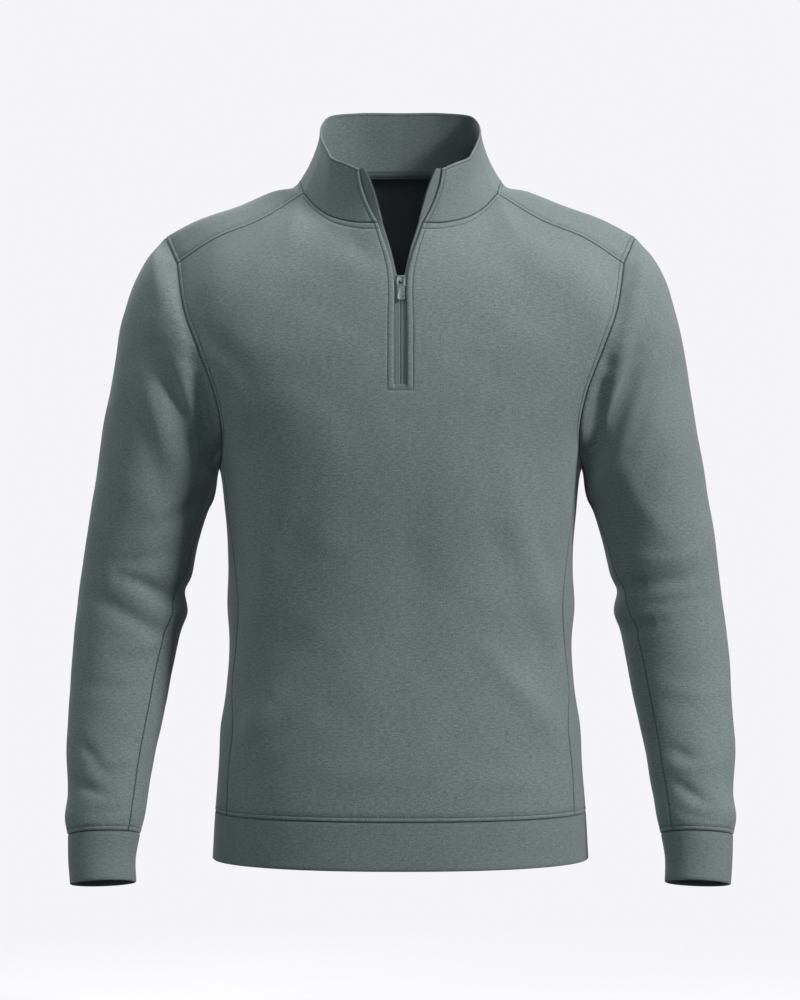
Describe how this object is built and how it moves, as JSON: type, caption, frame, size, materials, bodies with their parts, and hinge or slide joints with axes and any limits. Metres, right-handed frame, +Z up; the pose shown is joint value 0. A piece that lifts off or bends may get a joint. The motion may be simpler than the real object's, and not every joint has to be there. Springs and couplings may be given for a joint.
{
  "type": "quarter-zip pullover",
  "caption": "Long-sleeved quarter-zip pullover with a stand collar, plain cuffs and hem band, filled out as if worn, its zip pull tab hinged on the slider.",
  "frame": {"origin": "middle of the neck, level with the two points where the collar meets the shoulders", "axes": "+Z up, the front faces -Y, +X to the viewer's right (the wearer's left)"},
  "size_m": [0.6822, 0.2548, 0.7996],
  "materials": {
    "body_knit": "fine heathered jersey, slate green",
    "band_knit": "the same jersey, doubled",
    "woven_tape": "fine herringbone tape",
    "zip_metal": "satin gunmetal"
  },
  "bodies": {
    "garment": {"front_panel": "body_knit", "back_panel": "body_knit", "side_panel_left": "body_knit", "side_panel_right": "body_knit", "sleeve_left": "body_knit", "sleeve_right": "body_knit", "cuff_left": "band_knit", "cuff_right": "band_knit", "hem_band": "band_knit", "collar": "band_knit", "neck_tape": "woven_tape", "zip_tape_left": "woven_tape", "zip_tape_right": "woven_tape", "zip_slider": "zip_metal"},
    "pull_tab": {"zip_pull": "zip_metal"}
  },
  "joints": [
    {"name": "pull_tab_hinge", "type": "hinge", "parent": "garment", "child": "pull_tab", "pos_m": [0.0004, -0.11109, -0.11502], "axis": [-1, 0, 0], "range_deg": [0, 150]}
  ]
}
